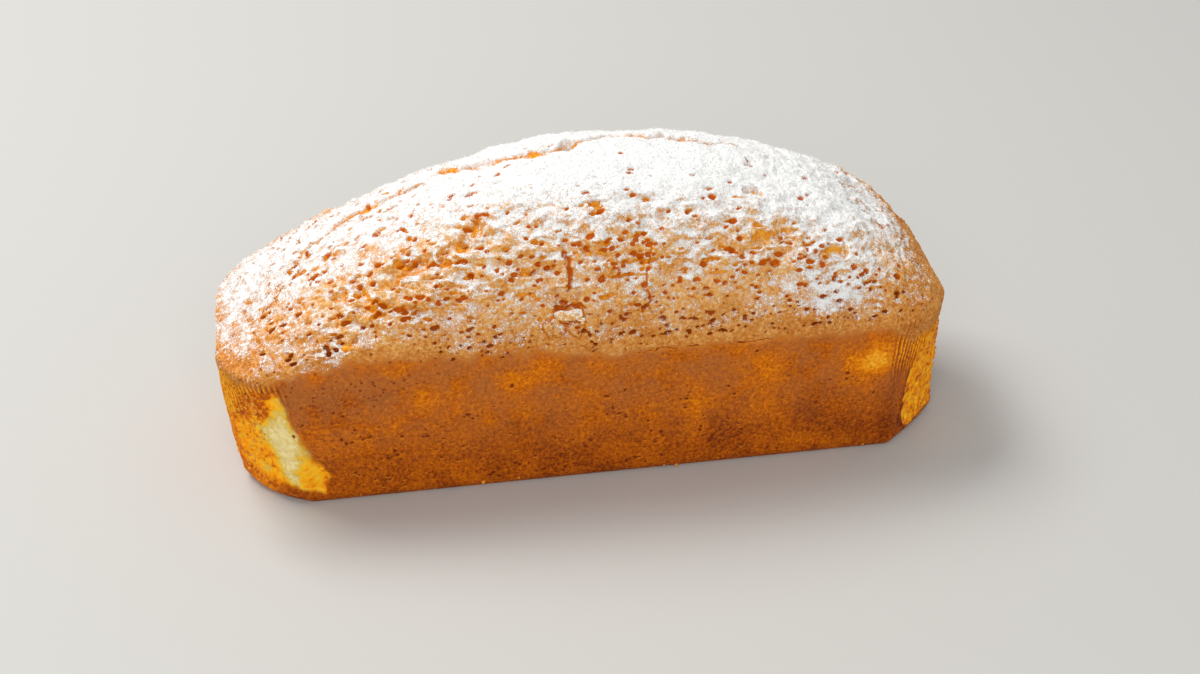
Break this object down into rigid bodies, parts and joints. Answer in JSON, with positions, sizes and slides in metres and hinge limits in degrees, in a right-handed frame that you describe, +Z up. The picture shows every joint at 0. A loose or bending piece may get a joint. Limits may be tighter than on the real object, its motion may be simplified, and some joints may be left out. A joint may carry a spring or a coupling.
{
  "type": "vanilla loaf cake",
  "caption": "Uncut vanilla loaf cake with a flared body, high split dome and torn corners, standing on its flat base.",
  "frame": {"origin": "on the floor, under the middle of the loaf's length and width", "axes": "+X along the loaf, -Y out of its front side, +Z up"},
  "size_m": [0.2522, 0.0892, 0.1071],
  "materials": {
    "golden_crust": "matte baked crust, tan on the dome and deeper golden brown on the walls",
    "icing_sugar": "matt white powder dusted over the dome"
  },
  "bodies": {
    "root": {"cake": "golden_crust"}
  },
  "joints": []
}
